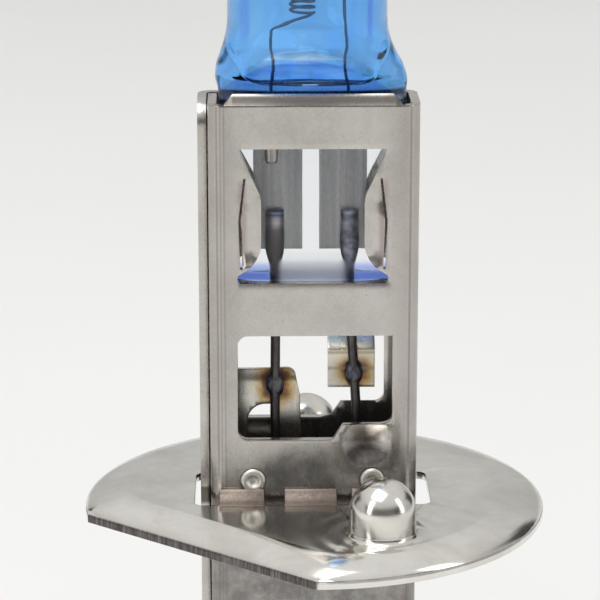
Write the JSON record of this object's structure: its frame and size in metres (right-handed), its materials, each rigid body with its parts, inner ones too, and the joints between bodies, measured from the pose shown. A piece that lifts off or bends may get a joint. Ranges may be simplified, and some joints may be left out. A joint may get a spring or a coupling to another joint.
{
  "type": "halogen headlight bulb",
  "caption": "Single-filament headlight bulb with a blue-tinted quartz tube, a wrapped sheet sleeve, a round locating flange with raised pins and a flat blade terminal.",
  "frame": {"origin": "where the sleeve's axis meets the plane of the flange's flat top face, the lamp's reference plane", "axes": "+Z along the tube towards its tip, +X to the right when the cut side of the flange is at the front left, -Y towards the front pin"},
  "size_m": [0.0238, 0.0239, 0.0644],
  "materials": {
    "tinted_quartz": "clear blue-tinted quartz, polished",
    "tungsten": "drawn tungsten wire",
    "molybdenum_foil": "dull rolled foil",
    "lead_wire": "dark drawn wire",
    "weld_metal": "fused metal with heat tint",
    "sleeve_sheet": "satin nickel-plated sheet",
    "flange_sheet": "polished nickel-plated sheet",
    "strap_sheet": "satin nickel with heat tint at the weld",
    "terminal_metal": "tin-plated brass",
    "rivet_metal": "plated steel",
    "insulator_ceramic": "unglazed steatite, matt"
  },
  "bodies": {
    "root": {"glass_envelope": "tinted_quartz", "filament": "tungsten", "left_foil": "molybdenum_foil", "right_foil": "molybdenum_foil", "live_lead": "lead_wire", "earth_lead": "lead_wire", "live_lead_weld": "weld_metal", "earth_lead_weld": "weld_metal", "sleeve": "sleeve_sheet", "spot_welds": "weld_metal", "flange_plate": "flange_sheet", "live_strap": "strap_sheet", "blade_terminal": "terminal_metal", "terminal_rivet": "rivet_metal", "insulator": "insulator_ceramic"}
  },
  "joints": []
}
